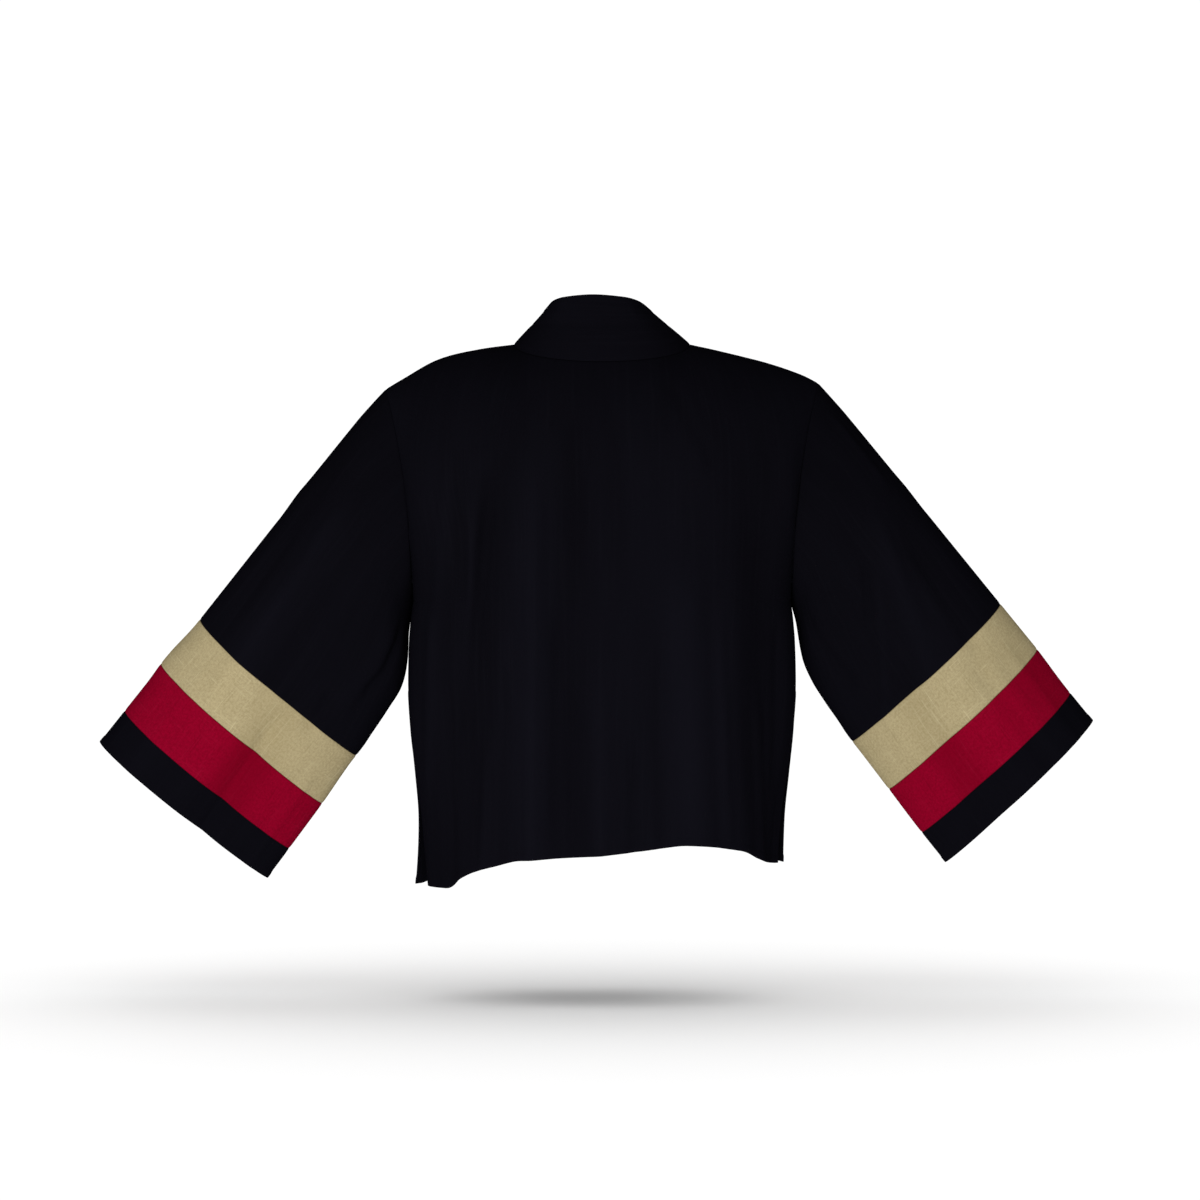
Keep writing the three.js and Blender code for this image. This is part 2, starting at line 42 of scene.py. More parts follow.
# The wall of the cloth and the slit of a vent, in mm. Folds rise and fade over shares of their length,
# and die away near a panel's side and top. The last two smooth the tuck at the underarm.
cloth = {"thick": 1.5, "slit": 0.8, "foldRise": 0.3, "foldFade": 0.25, "foldSide": 0.12, "foldTop": 0.2,
         "belowTuck": 0.98, "tuck": 60}


def ease(t):   # a smooth step from 0 to 1: three t squared less two t cubed
    t = np.clip(t, 0, 1)
    return t * t * (3 - 2 * t)


def mix(a, b, t):   # a where t is 0 and b where t is 1
    return a + (b - a) * t


def unit(vectors):   # the same directions, each of length one
    return vectors / np.maximum(np.linalg.norm(vectors, axis=-1, keepdims=True), 1e-9)


def curveOf(keys, values):
    # a monotone cubic through the pairs: each slope is the harmonic mean of the slopes beside it
    xs, ys = np.array(keys, float), np.array(values, float)
    steps = np.diff(ys) / np.diff(xs)
    before, after = steps[:-1], steps[1:]
    same = before * after > 0
    inner = np.where(same, 2 * before * after / np.where(same, before + after, 1), 0)
    slopes = np.concatenate([steps[:1], inner, steps[-1:]])

    def read(value):
        x = np.clip(value, xs[0], xs[-1])
        i = np.clip(np.searchsorted(xs, x, side="left") - 1, 0, len(xs) - 2)
        span = xs[i + 1] - xs[i]
        t = (x - xs[i]) / span
        held = ys[i] * (1 + 2 * t) * (1 - t) ** 2 + ys[i + 1] * t * t * (3 - 2 * t)
        return held + span * (slopes[i] * t * (1 - t) ** 2 - slopes[i + 1] * t * t * (1 - t))
    return read


def foldHeight(folds, across, down):
    # the sum of soft ridges: height times a squared cosine of the distance from each fold's line,
    # rising over the first part of its length and fading past its end
    total = np.zeros(np.broadcast(across, down).shape)
    for start, end, first, final, wide, high in folds:
        t = (down - first) / (final - first)
        off = (across - mix(start, end, np.clip(t, 0, 1))) / wide
        ends = ease(t / cloth["foldRise"]) * ease((1 + cloth["foldFade"] - t) / cloth["foldFade"])
        total += np.where(np.abs(off) < 1, high * ends * np.cos(np.clip(off, -1, 1) * np.pi / 2) ** 2, 0)
    return total


# the cut of the body, in mm, with the powers and shares that round it
cut = {
    "neckHalf": 88, "neckLevel": -1, "backNeckOut": 70, "backNeckDrop": 22, "frontNeckDrop": 60,
    "shoulderHalf": 216, "underarmHalf": 188, "underarmLevel": -257, "armholeDepth": 112,
    "ventTop": -351, "hemLevel": -520, "bladeMiddle": -135, "bladeArmhole": -151,
    "chestRound": 2.4, "underarmTuck": 16, "shoulderFall": 1.12, "armholeHollow": 2.2,
    "neckBend": 0.62, "neckBendShare": 0.5, "neckShare": 1 / 3, "ventShare": 2 / 3, "corner": 10,
}
# half width of the body and how square its section is, level by level, then its rows of points, how they
# crowd at the ends, and the height from which the fronts end at the neck point
body = {
    "level": [-545, -475, -430, -385, -340, -300, -275, -257],
    "half": [178, 181, 186, 191, 193.5, 192.5, 190.5, 188],
    "square": [2.25, 2.25, 2.3, 2.4, 2.55, 2.75, 2.9, 3],
    "rows": 216, "crowd": 0.35, "top": 1.9999,
}
# the shoulder line on each side, from the neck point out
shoulders = {
    "out": [88, 115, 146, 165, 200, 216],
    "left": [-1, -5, -11, -17, -36.5, -46],
    "right": [-1, -7.5, -15, -20, -32, -40],
}
# how far the corners of each vent lean across, how far apart they are drawn, and how late
vents = {
    "left": {"back": -7, "front": 8, "apart": 5, "curve": 3.2},
    "right": {"back": -4.5, "front": 2, "apart": 5, "curve": 1.4},
}
# Depth of each panel from the side seams at the body's levels, and at the chest; its hem; and its folds:
# line at the top and at the bottom, the two levels, half width, height (below zero in a trough).
# The first rows of folds are the large ones; the rest are the finer creases between them.
panels = {
    "back": {
        "depth": [100, 102, 105, 107, 109, 110, 110.5, 111], "chest": 114,
        "columns": 206, "crowd": 0.3,
        "hemX": [-178, -168, -136, -80, -56, 2, 80, 104, 128, 142, 156, 178],
        "hemLevel": [-519, -516, -503, -496, -499, -506, -511, -517, -524, -531, -541, -541],
        "folds": [
            (67, 66, -95, -545, 26, 6), (100, 128, -90, -460, 26, -5), (24, 29, -50, -470, 28, -4),
            (-73, -88, -190, -545, 32, 5), (-150, -168, -62, -500, 34, -9),
            (66, 68, -85, -520, 13, 3.4), (103, 137, -96, -400, 12, -3.2), (122, 132, -140, -330, 9, 2.4),
            (138, 139, -90, -235, 10, -2.4), (148, 152, -120, -545, 42, -3),
            (148, 165, -110, -290, 11, 1.4), (25, 27, -55, -195, 17, -1.2),
            (28, 27, -330, -450, 10, -1.4), (2, 2, -320, -510, 13, 2.8), (-30, -31, -380, -510, 8, -2.2),
            (-80, -100, -205, -510, 24, 3), (-122, -140, -70, -400, 22, -2),
            (-155, -165, -330, -515, 9, 1.8), (45, 47, -240, -470, 9, -1.8),
            (-52, -58, -260, -480, 9, -1.6), (90, 96, -290, -500, 8, -1.8),
            (-112, -122, -250, -470, 10, 2), (112, 118, -380, -515, 9, 2.2),
            (152, 150, -330, -520, 9, -2.4), (-20, -14, -70, -210, 14, -1.3),
            (60, 90, -35, -120, 12, -1.2), (-60, -104, -32, -120, 13, -1.3),
            (168, 172, -250, -420, 9, 2), (-176, -178, -250, -430, 8, -2),
        ],
    },
    "front": {
        "depth": [106, 109, 113, 117, 120, 121, 121, 120], "chest": 116,
        "columns": 74, "crowd": 0.4,
        "hemX": [-178, -120, 0, 100, 178], "hemLevel": [-519, -508, -500, -508, -541],
        "edgeLevel": [-545, -215, -150, -80, -1], "edgeX": [73, 71, 76, 83, 88],
        "folds": [
            (92, 100, -150, -545, 24, 5), (128, 134, -110, -545, 18, -6), (-88, -98, -170, -545, 26, 5.5),
            (-124, -140, -120, -480, 20, -6), (-158, -160, -270, -545, 16, 3),
            (108, 112, -190, -500, 9, -2.6), (150, 152, -180, -420, 10, 2.6), (88, 90, -330, -520, 8, -2),
            (-108, -116, -200, -470, 9, -2.6), (-96, -98, -340, -510, 8, 2.2),
            (-146, -150, -120, -300, 9, 2.4), (-172, -172, -300, -500, 8, -2.2),
            (168, 170, -300, -500, 8, 2.2), (118, 150, -60, -170, 12, -1.8),
            (-112, -146, -60, -180, 12, -1.8), (40, 44, -260, -480, 9, 0.9),
            (-38, -42, -250, -470, 9, -0.8),
        ],
    },
}
half = curveOf(body["level"], body["half"])
square = curveOf(body["level"], body["square"])
depthOf = {face: curveOf(body["level"], panel["depth"]) for face, panel in panels.items()}
hemOf = {face: curveOf(panel["hemX"], panel["hemLevel"]) for face, panel in panels.items()}
shoulderOf = {side: curveOf(shoulders["out"], shoulders[side]) for side in ("left", "right")}
edgeX = curveOf(panels["front"]["edgeLevel"], panels["front"]["edgeX"])


def topLine(face, share, across):
    # the neckline is a quarter ellipse behind or a parabola in front, then the shoulder line
    out = mix(cut["neckHalf"], cut["shoulderHalf"],
              np.clip((share - cut["neckShare"]) / (1 - cut["neckShare"]), 0, 1))
    shoulderZ = np.where(across < 0, shoulderOf["right"](out), shoulderOf["left"](out))
    part = np.clip(share / cut["neckShare"], 0, 1)
    if face == "front":
        x, y = cut["neckHalf"] * part, np.zeros_like(part)
        z = cut["neckLevel"] - cut["frontNeckDrop"] * (1 - part * part)
    else:
        turn = part * np.pi / 2
        x, y = cut["neckHalf"] * np.sin(turn), cut["backNeckOut"] * np.cos(turn)
        z = cut["neckLevel"] - cut["backNeckDrop"] * np.cos(turn)
    outside = share >= cut["neckShare"]
    return np.where(outside, out, x), np.where(outside, 0, y), np.where(outside, shoulderZ, z)


def bodyForm(face, across, up):
    # across is -1..1 between the side seams, up is 0 at the hem, 1 at the underarm and 2 at the top.
    # Below the underarm each level is a superellipse; above it the cloth swings in over a quarter turn.
    across, up = np.broadcast_arrays(np.asarray(across, float), np.asarray(up, float))
    share = np.minimum(np.abs(across), 1)
    turn = share * np.pi / 2
    sine, cosine = np.sin(turn), np.maximum(np.cos(turn), 0)
    atHem = np.sign(across) * half(cut["hemLevel"]) * sine ** (2 / square(cut["hemLevel"]))
    lowZ = np.where(
        up < cut["ventShare"],
        mix(hemOf[face](atHem), cut["ventTop"], up / cut["ventShare"]),
        mix(cut["ventTop"], cut["underarmLevel"], (up - cut["ventShare"]) / (1 - cut["ventShare"])))
    power = 2 / square(lowZ)
    lowX, lowY = half(lowZ) * sine ** power, depthOf[face](lowZ) * cosine ** power

    arm, armholeHalf = cut["underarmLevel"], cut["armholeDepth"] / 2
    wide, deep = sine ** (2 / square(arm)), cosine ** (2 / square(arm))
    topX, topY, topZ = topLine(face, share, across)
    swing = np.maximum(up - 1, 0) * np.pi - np.pi / 2
    blade = mix(cut["bladeMiddle"], cut["bladeArmhole"], share ** 2)
    out = armholeHalf + (panels[face]["chest"] - armholeHalf) * (1 - share ** cut["chestRound"])
    riseZ = blade + (blade - arm) * np.sin(np.minimum(swing, 0))
    soft = ease((riseZ - arm) / (blade - arm))
    tucked = mix(soft, np.cos(np.minimum(swing, 0)), share ** cut["underarmTuck"])
    riseY = mix(depthOf[face](arm) * deep, out, tucked)
    bend = mix(cut["neckBend"], 1, ease(share / cut["neckBendShare"])) * np.pi / 2
    lean = np.maximum(swing, 0) / (np.pi / 2) * bend
    fallZ = blade + (topZ - blade) * np.sin(lean) / np.sin(bend)
    fall = np.maximum(np.cos(lean) - np.cos(bend), 0) / (1 - np.cos(bend))
    fallY = mix(topY, out, fall ** cut["shoulderFall"])
    highZ = np.where(swing < 0, riseZ, fallZ)
    climb = np.clip((highZ - arm) / (topZ - arm), 0, 1)
    highX = mix(cut["underarmHalf"] * wide, topX, climb ** mix(1, cut["armholeHollow"], share ** 4))

    low = up <= 1
    x = np.sign(across) * np.where(low, lowX, highX)
    y = np.where(low, lowY, np.where(swing < 0, riseY, fallY)) * (1 if face == "back" else -1)
    return np.stack([x, y, np.where(low, lowZ, highZ)], axis=-1)


# the short step that a normal is found with, which goes backwards past these values of u and v
probe = {"step": 0.004, "pastU": 0.9, "pastV": 1.9}


def normalAt(form, u, v, outward):
    # the cross product of two short steps over the form, turned to point outward
    step = probe["step"]
    stepU, stepV = np.where(u > probe["pastU"], -step, step), np.where(v > probe["pastV"], -step, step)
    here = form(u, v)
    normal = unit(np.cross(form(u + stepU, v) - here, form(u, v + stepV) - here))
    facing = np.sum(normal * outward(here), axis=-1, keepdims=True)
    return np.where(facing < 0, -normal, normal)


def bodyPoint(face, across, up):
    # the body's form, moved out along its normal by its folds, its vent corners drawn apart. Just above
    # the underarm the normal is that of the cloth below it, as the tuck there lies almost level.
    across, up = np.broadcast_arrays(np.asarray(across, float), np.asarray(up, float))
    share = np.abs(across)
    vent = {key: np.where(across < 0, vents["right"][key], vents["left"][key]) for key in vents["left"]}
    opening = np.maximum(0, 1 - up / cut["ventShare"]) ** vent["curve"]
    atCorner = share ** cut["corner"] * opening
    slit = np.where(up < cut["ventShare"], cloth["slit"] / 2, 0)
    apart = share ** cut["corner"] * slit + atCorner * vent["apart"]
    drawn = across * (1 - apart / (half(cut["hemLevel"]) * np.pi / 2))
    point = bodyForm(face, drawn, up)
    folds = foldHeight(panels[face]["folds"], point[..., 0], point[..., 2])
    still = ease((1 - share) / cloth["foldSide"]) * ease((2 - up) / cloth["foldTop"])
    flat = np.array([1.0, 1.0, 0.0])
    facing = [normalAt(lambda u, v: bodyForm(face, u, v), drawn, level, lambda here: here * flat)
              for level in (np.minimum(up, cloth["belowTuck"]), up)]
    normal = unit(mix(*facing, ease((point[..., 2:] - cut["underarmLevel"]) / cloth["tuck"])))
    point = point + normal * (folds * still)[..., None]
    point[..., 0] += np.sign(across) * vent[face] * atCorner
    return point


halvings = 30   # how often shareAt halves its range


def shareAt(up, side, distance):
    # halves the range again and again, to find where a level of the front is this far from the middle
    up = np.asarray(up, float)
    low, high = np.zeros_like(up), np.ones_like(up)
    for _ in range(halvings):
        middle = (low + high) / 2
        point = bodyForm("front", side * middle, up)
        inside = np.abs(point[..., 0]) < distance(point[..., 2])
        low, high = np.where(inside, middle, low), np.where(inside, high, middle)
    return high


# Each sleeve: rings along its outer edge, then folds by degrees round from that edge (by the back).
# The first of its folds, as many as rounding says, only round the outer edge.
sleeves = {
    "left": {
        "side": 1, "slope": 51.2, "seams": [0, 297, 357, 417, 457], "rounding": 3,
        "along": [0, 50, 100, 150, 200, 250, 297, 357, 457],
        "width": [213, 210.5, 211, 211, 208, 206.5, 206, 209.5, 213],
        "depth": [112, 110, 108, 105, 101, 98, 96, 93, 90],
        "turn": [7.6, 14.9, 23.4, 31.2, 37.4, 43.1, 48.8, 49, 50.8],
        "forward": [0, 1, 3, 8, 13, 18, 22, 26, 31],
        "under": [0, 1, 3, 7, 12, 17, 21, 25, 30],
        "folds": [
            (0, 0, -30, 130, 70, 3), (0, 0, 110, 330, 60, 2.5), (0, 0, 300, 520, 50, 4.5),
            (63, 66, 45, 330, 24, 4), (104, 106, 250, 450, 24, -4), (-60, -75, 60, 380, 26, -4),
            (-115, -110, 90, 440, 26, 3.5),
            (62, 67, 50, 310, 11, 2.4), (119, 120, 235, 300, 9, -2.4), (103, 108, 300, 450, 8, -3),
            (84, 86, 120, 300, 9, -1.8), (100, 106, 296, 450, 16, -2.5), (34, 40, 60, 250, 12, -1.5),
            (136, 128, 70, 230, 12, 2.4), (152, 140, 40, 190, 9, -2.6), (48, 52, 310, 440, 10, 1.6),
            (140, 142, 320, 450, 8, 1.8), (-40, -48, 70, 320, 11, 2), (-88, -96, 150, 420, 10, -2.4),
            (-140, -128, 40, 210, 10, -2.6), (-135, -137, 300, 440, 9, 1.8),
        ],
    },
    "right": {
        "side": -1, "slope": 50.6, "seams": [0, 287, 346, 401, 437], "rounding": 2,
        "along": [0, 50, 100, 150, 200, 250, 287, 346, 401, 437],
        "width": [218.5, 210.5, 211, 207.5, 203, 200.5, 201, 203, 205, 205.5],
        "depth": [112, 110, 107, 103, 99, 96, 94, 91, 88, 86],
        "turn": [7.4, 14.6, 22.1, 29.3, 36.3, 43, 47, 46.6, 46.7, 46.1],
        "forward": [0, 1, 3, 7, 11, 14, 16, 19, 22, 24],
        "under": [0, 1, 3, 6, 9, 12, 14, 16, 18, 19],
        "folds": [
            (0, 0, -30, 130, 70, 2), (0, 0, 110, 340, 60, 2), (60, 84, 70, 320, 24, 4),
            (110, 112, 240, 430, 24, -3.5), (-70, -60, 70, 400, 26, -4), (-125, -120, 60, 380, 24, 3.5),
            (34, 35, 15, 95, 8, 2), (60, 92, 90, 285, 11, 2.6), (75, 124, 120, 285, 9, 2.4),
            (83, 98, 115, 165, 8, -2.2), (50, 58, 140, 290, 10, -1.8), (146, 134, 40, 200, 9, -2.4),
            (66, 68, 290, 420, 9, -1.8), (38, 35, 286, 450, 30, -3.6), (128, 126, 260, 400, 8, 2),
            (40, 42, 300, 430, 10, 1.4), (-44, -50, 60, 300, 11, 2), (-92, -100, 140, 400, 10, -2.4),
            (-148, -132, 40, 200, 9, -2.4),
        ],
    },
}
# how much deeper both sleeves are towards the outer edge, and by where; half the step that finds their
# course; how far down them the armhole's shape lasts; and their points round, crowding at both ends
sleeveShape = {"deeper": 0.3, "deeperBy": 200, "step": 4, "armhole": 46, "around": 196, "crowd": 0.7}


def sleeveForm(sleeve):
    # rings whose outer edge runs down a straight line; each is an ellipse, deeper towards that edge
    read = {name: curveOf(sleeve["along"], sleeve[name])
            for name in ("width", "depth", "turn", "forward", "under")}
    top = shoulderOf["left" if sleeve["side"] > 0 else "right"](cut["shoulderHalf"])
    slope = np.radians(sleeve["slope"])

    def edges(along):
        # the outer edge of a ring, and the middle between it and the edge under the arm
        tilt = np.radians(read["turn"](along))
        outer = np.stack([cut["shoulderHalf"] + along * np.cos(slope), -read["forward"](along),
                          top - along * np.sin(slope)], axis=-1)
        under = np.stack([outer[..., 0] - read["width"](along) * np.sin(tilt), -read["under"](along),
                          outer[..., 2] - read["width"](along) * np.cos(tilt)], axis=-1)
        return outer, (outer + under) / 2

    def form(turn, along):
        # middle plus reach times the cosine of the turn, plus backward times half the depth times its sine
        turn, along = np.broadcast_arrays(np.asarray(turn, float), np.asarray(along, float))
        outer, middle = edges(along)
        step = sleeveShape["step"]
        course = edges(along + step)[1] - edges(np.maximum(along - step, 0))[1]
        reach = outer - middle
        backward = unit(np.cross(course, reach))
        backward *= np.where(backward[..., 1:2] < 0, -1, 1)
        deeper = sleeveShape["deeper"] * ease(along / sleeveShape["deeperBy"])
        deep = read["depth"](along) / 2 * np.sin(turn) * (1 + deeper * np.cos(turn))
        point = middle + reach * np.cos(turn)[..., None] + backward * deep[..., None]
        folds = foldHeight(sleeve["folds"], degreesOf(turn), along)
        point = point + unit(point - middle) * folds[..., None]
        return point * np.array([sleeve["side"], 1, 1])
    return form


def degreesOf(turn):
    # a turn from 0 to two pi, as degrees from -180 to 180
    return np.degrees(np.where(turn > np.pi, turn - 2 * np.pi, turn))


def armhole(sleeve, turn):
    # the edge of the body's two faces, from the shoulder round by the back to the underarm and back
    share = turn / (2 * np.pi)
    up = 2 - 2 * np.minimum(share, 1 - share)
    back, front = (bodyPoint(face, float(sleeve["side"]), up) for face in ("back", "front"))
    return np.where((share <= 0.5)[..., None], back, front)


def sleevePoint(sleeve, turn, along):
    # the sleeve's form, drawn on to the armhole at its first end
    form = sleeveForm(sleeve)
    near = 1 - ease(along / sleeveShape["armhole"])
    return form(turn, along) + (armhole(sleeve, turn) - form(turn, np.zeros_like(turn))) * near[..., None]


# The neckband's stations run from the middle of the back (0) by the neck point (5) down to the hem. x, y
# and z give its free edge down to where it lies on the chest, and beside says how many stations lie
# beside each stretch of the front. The rest are in mm, in stations, or in shares of its width.
neckband = {
    "station": [-1, 0, 2, 3.5, 5, 6, 7, 8, 9, 10],
    "x": [-14, 0, 29, 44, 50, 50, 47, 41, 34, 26],
    "y": [51.5, 52, 47, 25, -8, -36, -62, -85, -103, -113],
    "z": [43.5, 44, 42, 38.5, 33, 20, 0, -28, -62, -98],
    "width": 66, "opening": 5, "backStations": 5, "beside": {"vent": 6, "side": 3, "arm": 12},
    "shift": 9, "shiftEnd": 9, "layFrom": 7, "layTo": 11, "roll": 1.5, "rollAcross": 0.9,
    "crease": 0.55, "creaseDeep": 1.1, "creaseWide": 0.035, "creaseFrom": 3, "creaseTo": 6,
    "perStation": 11, "columns": 30, "crowd": 0.6, "core": 20, "ripple": 0.6,
}
freeOf = {axis: curveOf(neckband["station"], neckband[axis]) for axis in "xyz"}


def rowUp(row):
    # the height on the front beside a row: 0 to 1 over the rows below the underarm, then on to 2
    low = neckband["beside"]["vent"] + neckband["beside"]["side"]
    return np.where(row <= low, row / low, 1 + (row - low) / neckband["beside"]["arm"])


def bandPoint(side, station, part):
    # ruled from the seam to the free edge and rolled a little outward; lower down it lies on the chest
    station, part = np.broadcast_arrays(np.asarray(station, float), np.asarray(part, float))
    last = neckband["backStations"]
    shift = neckband["shift"] * (1 - ease(station / neckband["shiftEnd"]))
    standing = np.stack([side * freeOf["x"](station) + shift, freeOf["y"](station), freeOf["z"](station)], -1)
    behind = bodyPoint("back", side * np.minimum(station, last) / last * cut["neckShare"], 2.0)
    up = rowUp(sum(neckband["beside"].values()) - np.maximum(station - last, 0))
    before = bodyPoint("front", side * shareAt(up, side, edgeX), up)
    onChest = shareAt(up, side, lambda level: mix(
        edgeX(level), np.maximum(edgeX(level) - neckband["width"], neckband["opening"]), part))
    lying = bodyPoint("front", side * onChest, up)
    seam = np.where((station <= last)[..., None], behind, before)
    out = unit((seam + standing) * np.array([neckband["rollAcross"], 1, 0]))
    bow = neckband["roll"] * 4 * part * (1 - part)
    crease = -neckband["creaseDeep"] * np.exp(-((part - neckband["crease"]) / neckband["creaseWide"]) ** 2)
    length = neckband["creaseTo"] - neckband["creaseFrom"]
    crease = crease * (1 - ease((station - neckband["creaseFrom"]) / length))
    raised = mix(seam, standing, part[..., None]) + out * (bow + crease)[..., None]
    lay = ease((station - neckband["layFrom"]) / (neckband["layTo"] - neckband["layFrom"]))
    lay = np.where(station <= last, 0, lay)
    return mix(raised, lying, lay[..., None])


def spread(count, crowd):
    # count + 1 values from 0 to 1, closer together near both ends: t less a sine of it
    t = np.linspace(0, 1, count + 1)
    return t - crowd * np.sin(2 * np.pi * t) / (2 * np.pi)


def arcs(grid, axis):
    # the running length of the cloth along one axis of a grid of points
    steps = np.linalg.norm(np.diff(grid, axis=axis), axis=-1)
    start = np.zeros_like(np.take(steps, [0], axis=axis))
    return np.concatenate([start, np.cumsum(steps, axis=axis)], axis=axis)


def gridNormals(grid, outward, around):
    # the cross product of the grid's slopes down and along, turned so that most point outward
    if around:
        wrapped = np.concatenate([grid[:, -2:-1], grid, grid[:, 1:2]], axis=1)
        along = np.gradient(wrapped, axis=1)[:, 1:-1]
    else:
        along = np.gradient(grid, axis=1)
    normal = unit(np.cross(np.gradient(grid, axis=0), along))
    return normal * np.where(np.median(np.sum(normal * outward, axis=-1)) < 0, -1, 1)


# the faint waves of the cloth, in mm, and how near an edge or the join of a tube they are stilled
waves = {"count": 12, "across": (22, 60), "down": (120, 420), "sway": 0.35, "high": 0.28,
         "edge": 12, "join": 30}
draws = np.random.default_rng(11)


def ripples(u, v):
    # the mean of sines that mostly run down the cloth, with seeded lengths and phases
    total = np.zeros_like(u)
    for _ in range(waves["count"]):
        across, down = draws.uniform(*waves["across"]), draws.uniform(*waves["down"])
        phase, sway = draws.uniform(0, 2 * np.pi, 2)
        course = np.sin(2 * np.pi * v / down + sway) * waves["sway"]
        total += np.sin(2 * np.pi * (u / across + course) + phase)
    return total / waves["count"]


plans = {}


def plan(name, grid, core, crest, edges, node, slotName, around=False, ripple=1.0):
    # keeps a piece's grid of points until all of them are there and their seams can be joined.
    # crest is the height of the folds at each point. edges names the finish of the first row, last row,
    # first column and last column: seam, hem, or side, a seam down to the vent and a hem below its top
    plans[name] = {
        "grid": grid, "normal": gridNormals(grid, grid - core, around), "crest": crest, "edges": edges,
        "node": node, "slot": slotName, "around": around, "ripple": ripple,
    }


def edgeOf(array, edge):
    # the values along one edge: the first or last row, or the first or last column
    return {"top": array[0], "bottom": array[-1], "left": array[:, 0], "right": array[:, -1]}[edge]


# The finish of the edges, in mm. Seams are shallow grooves in which two pieces meet; hems are turned up
# and so a little thicker. Pieces are sewn where they lie nearer than meet and less turned than fold.
edging = {
    "seamDeep": 0.5, "seamWide": 1.4, "mitreReach": 7, "meet": 5, "meetSoft": 3, "fold": 0.5,
    "hemHigh": 0.55, "hemWide": 7, "hemSoft": 2.5, "ventSoft": 6, "noSeam": 1000.0,
}


def mitreAt(name, edge):
    # along one edge, the sum of this piece's normals and those of every piece sewn to it there
    points, own = (edgeOf(plans[name][key], edge) for key in ("grid", "normal"))
    total = own.copy()
    for otherName, other in plans.items():
        if otherName == name:
            continue
        for otherEdge, kind in other["edges"].items():
            if kind == "hem":
                continue
            otherPoints, otherNormals = (edgeOf(other[key], otherEdge) for key in ("grid", "normal"))
            gaps = np.linalg.norm(points[:, None] - otherPoints[None], axis=-1)
            nearest, gap = gaps.argmin(axis=1), gaps.min(axis=1)
            found = otherNormals[nearest]
            near = ease((edging["meet"] - gap) / edging["meetSoft"])
            weight = near * ease(np.sum(own * found, axis=-1) + edging["fold"])
            total += found * weight[:, None]
    return unit(total)


def finishEdges(name, down, along):
    # Lifts the grid by its ripples, sinks it at seams by a bell curve and raises it at hems by a step.
    # Near a seam it moves along the mitre. Gives the points, and how far each is from a seam.
    grid, normal, edges, around = (plans[name][key] for key in ("grid", "normal", "edges", "around"))
    reaches = {"top": down, "bottom": down[-1:] - down, "left": along, "right": along[:, -1:] - along}
    lift = ripples(along, down) * waves["high"] * plans[name]["ripple"]
    if around:
        lift = lift * ease(reaches["left"] / waves["join"]) * ease(reaches["right"] / waves["join"])
    seamDistance = np.full(down.shape, edging["noSeam"])
    course = normal.copy()
    for edge, kind in edges.items():
        reach = reaches[edge]
        lift = lift * ease(reach / waves["edge"])
        if kind == "hem":
            continue
        mitre = mitreAt(name, edge)
        mitre = mitre[None, :] if edge in ("top", "bottom") else mitre[:, None]
        near = 1 - ease(reach / edging["mitreReach"])
        course = course + (mitre - normal) * near[..., None]
        sewn = grid[..., 2] > cut["ventTop"] if kind == "side" else np.ones(reach.shape, bool)
        seamDistance = np.where(sewn, np.minimum(seamDistance, reach), seamDistance)
    aboveVent = ease((grid[..., 2] - cut["ventTop"]) / edging["ventSoft"])
    for edge, kind in edges.items():
        sewn = {"seam": 1.0, "hem": 0.0, "side": aboveVent}[kind]
        groove = edging["seamDeep"] * np.exp(-(reaches[edge] / edging["seamWide"]) ** 2)
        turnUp = edging["hemHigh"] * ease((edging["hemWide"] - reaches[edge]) / edging["hemSoft"] + 0.5)
        lift = lift - groove * sewn
        lift = lift + turnUp * (1 - sewn)
    return grid + unit(course) * lift[..., None], seamDistance


def quadsOf(points, normal, around):
    # one face for each cell of the grid, with a last column of them to close a tube, turned outward
    rows, columns = points.shape[:2]
    i, j = np.meshgrid(np.arange(rows - 1), np.arange(columns if around else columns - 1), indexing="ij")
    after = (j + 1) % columns
    quads = np.stack([i * columns + j, i * columns + after, (i + 1) * columns + after,
                      (i + 1) * columns + j], axis=-1).reshape(-1, 4)
    flat = points.reshape(-1, 3)
    a, b, d = (flat[quads[:, corner]] for corner in (0, 1, 3))
    facing = np.sum(np.cross(b - a, d - a) * normal.reshape(-1, 3)[quads[:, 0]], axis=-1)
    return quads[:, ::-1] if np.median(facing) < 0 else quads


def flatCoordinates(quads, along, down, around):
    # each face's corners on the flat cloth, in metres: the lengths across it and down it. Across is
    # counted from the middle column, or on a tube from its join and on past it in the last faces.
    columns = along.shape[1] - 1 if around else along.shape[1]
    start = 0 if around else along[:, columns // 2:columns // 2 + 1]
    u, v = (along - start)[:, :columns].ravel() / 1000, down[:, :columns].ravel() / 1000
    loopU, loopV = u[quads], v[quads]
    if around:
        tooWide = 0.1   # a face of the tube that is wider than this, in metres, lies over the join
        wraps = loopU.max(axis=1) - loopU.min(axis=1) > tooWide
        loopU = np.where(wraps[:, None] & (loopU < tooWide), loopU + along[:, -1].mean() / 1000, loopU)
    return np.stack([loopU, loopV], axis=-1)


